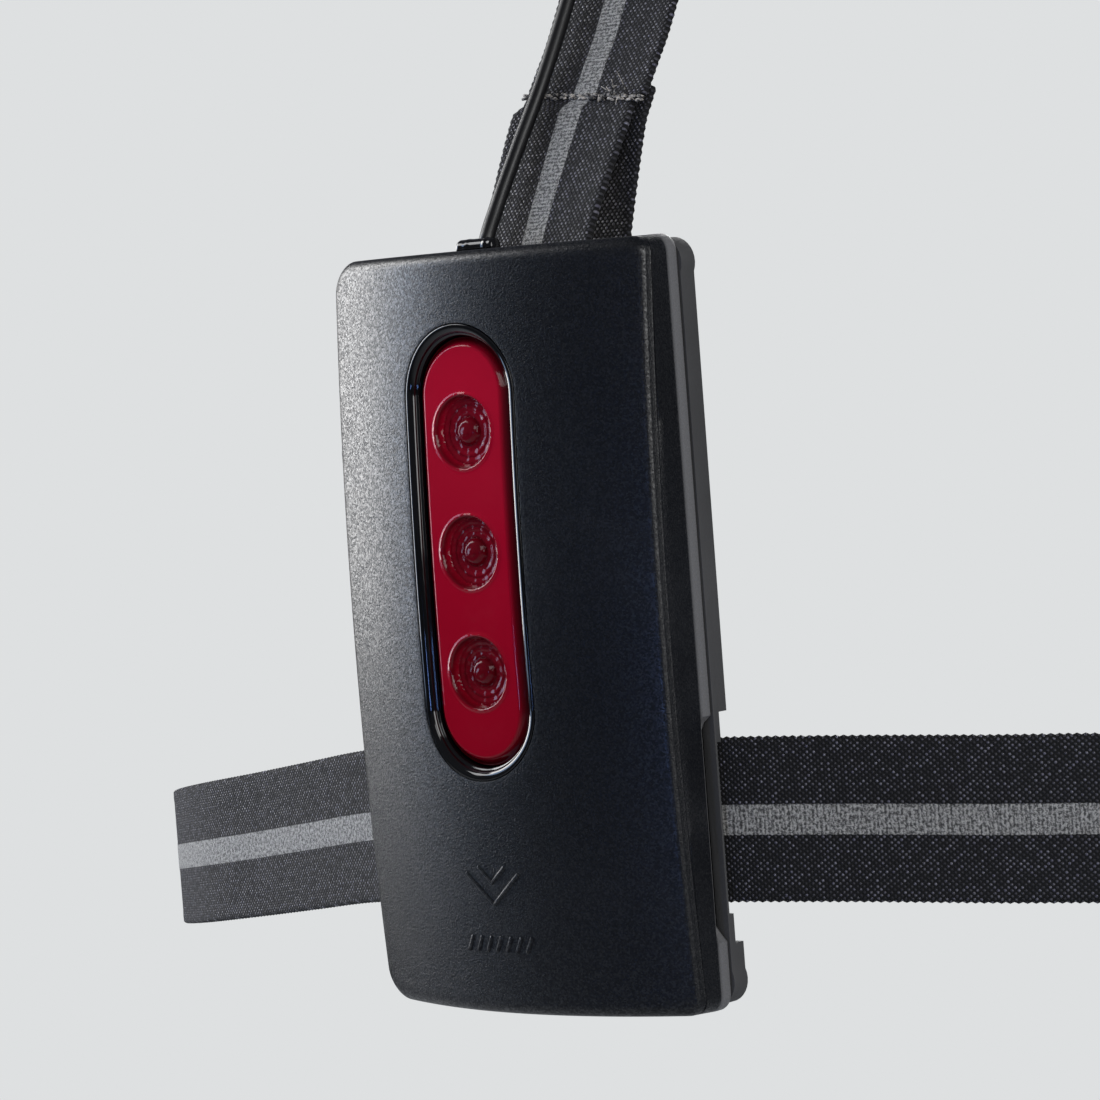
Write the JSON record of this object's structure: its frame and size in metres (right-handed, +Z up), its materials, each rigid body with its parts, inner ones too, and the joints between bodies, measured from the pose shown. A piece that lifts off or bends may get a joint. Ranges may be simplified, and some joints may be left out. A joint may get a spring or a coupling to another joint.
{
  "type": "body-worn running lamp",
  "caption": "Body-worn running lamp: a tail-light battery unit on the back, a tilting white lamp on the chest, a belt and two shoulder straps.",
  "frame": {"origin": "middle of the rear pad, on the flat face that rests on the wearer's back", "axes": "+Z up the wearer's back, +Y from the wearer's back to the chest, +X to the wearer's right"},
  "size_m": [0.3464, 0.2853, 0.3052],
  "materials": {
    "casing_grained": "fine spark-eroded grain, near-black charcoal, semi-matte",
    "casing_matte": "plain matte moulded black",
    "gloss_black": "polished black moulding",
    "red_clear": "transparent red polycarbonate",
    "clear_lens": "clear polycarbonate",
    "bright_reflector": "vacuum-metallised",
    "bright_steel": "plain bright metal",
    "black_rubber": "smooth black elastomer",
    "foam_pad": "knit-faced foam",
    "webbing": "woven elastic webbing with a grey reflective stripe",
    "circuit_board": "green solder mask",
    "cell_wrap": "heat-shrink film",
    "led_resin": "phosphor resin"
  },
  "bodies": {
    "root": {"front_cover": "casing_grained", "rear_shell": "casing_matte", "back_plate": "casing_matte", "lamp_base": "casing_matte", "lens_bezel": "gloss_black", "tail_lens": "red_clear", "reflector_tray": "red_clear", "lens_gasket": "black_rubber", "cable_gland": "black_rubber", "lamp_gland": "black_rubber", "lead": "black_rubber", "led_board": "circuit_board", "charge_board": "circuit_board", "tail_led_1": "led_resin", "tail_led_2": "led_resin", "tail_led_3": "led_resin", "battery_cell": "cell_wrap", "usb_socket": "bright_steel", "back_pad": "foam_pad", "lamp_pad": "foam_pad", "yoke_inner": "foam_pad", "yoke_outer": "casing_matte", "rear_strap": "webbing", "shoulder_strap_left": "webbing", "shoulder_strap_right": "webbing", "belt_long": "webbing", "belt_short": "webbing", "buckle_socket": "gloss_black", "buckle_plug": "gloss_black", "hinge_pin": "bright_steel", "screw_1": "bright_steel", "screw_2": "bright_steel", "screw_3": "bright_steel", "screw_4": "bright_steel"},
    "usb_cover": {"usb_cover": "black_rubber"},
    "slider_left": {"slider_left": "gloss_black"},
    "slider_right": {"slider_right": "gloss_black"},
    "keeper_upper": {"keeper_upper": "gloss_black"},
    "keeper_lower": {"keeper_lower": "gloss_black"},
    "latch_upper": {"buckle_latch_upper": "gloss_black"},
    "latch_lower": {"buckle_latch_lower": "gloss_black"},
    "lamp": {"lamp_body": "casing_grained", "lamp_bezel": "gloss_black", "lamp_lens": "clear_lens", "lamp_reflector": "bright_reflector", "lamp_heat_sink": "bright_steel", "lamp_led": "led_resin"},
    "power_button": {"power_button": "black_rubber"}
  },
  "joints": [
    {"name": "lamp_tilt", "type": "hinge", "parent": "root", "child": "lamp", "pos_m": [0, 0.2395, -0.0846], "axis": [-1, 0, 0], "range_deg": [0, 40]},
    {"name": "power_button_press", "type": "slide", "parent": "lamp", "child": "power_button", "axis": [0, 0, -1], "range_m": [0, 0.0009], "stiffness_N_per_m": 600},
    {"name": "usb_cover_open", "type": "hinge", "parent": "root", "child": "usb_cover", "pos_m": [-0.0329, -0.0132, 0.0112], "axis": [0, -1, 0], "range_deg": [0, 110], "stiffness_Nm_per_rad": 0.0006},
    {"name": "slider_left_slide", "type": "slide", "parent": "root", "child": "slider_left", "axis": [0, 0, 1], "range_m": [-0.006, 0.018]},
    {"name": "slider_right_slide", "type": "slide", "parent": "root", "child": "slider_right", "axis": [0, 0, 1], "range_m": [-0.006, 0.018]},
    {"name": "keeper_upper_slide", "type": "slide", "parent": "root", "child": "keeper_upper", "axis": [0, 0, 1], "range_m": [-0.02, 0]},
    {"name": "keeper_lower_slide", "type": "slide", "parent": "root", "child": "keeper_lower", "axis": [0, 0, 1], "range_m": [-0.006, 0.01]},
    {"name": "latch_upper_squeeze", "type": "hinge", "parent": "root", "child": "latch_upper", "pos_m": [0.12275, 0.20192, -0.0505], "axis": [-0.582, -0.8132, 0], "range_deg": [-6, 0], "stiffness_Nm_per_rad": 0.6},
    {"name": "latch_lower_squeeze", "type": "hinge", "parent": "root", "child": "latch_lower", "pos_m": [0.12275, 0.20192, -0.0703], "axis": [-0.582, -0.8132, 0], "range_deg": [0, 6], "stiffness_Nm_per_rad": 0.6}
  ],
  "couplings": [
    {"joint": "latch_lower_squeeze", "follows": "latch_upper_squeeze", "ratio": -1}
  ]
}
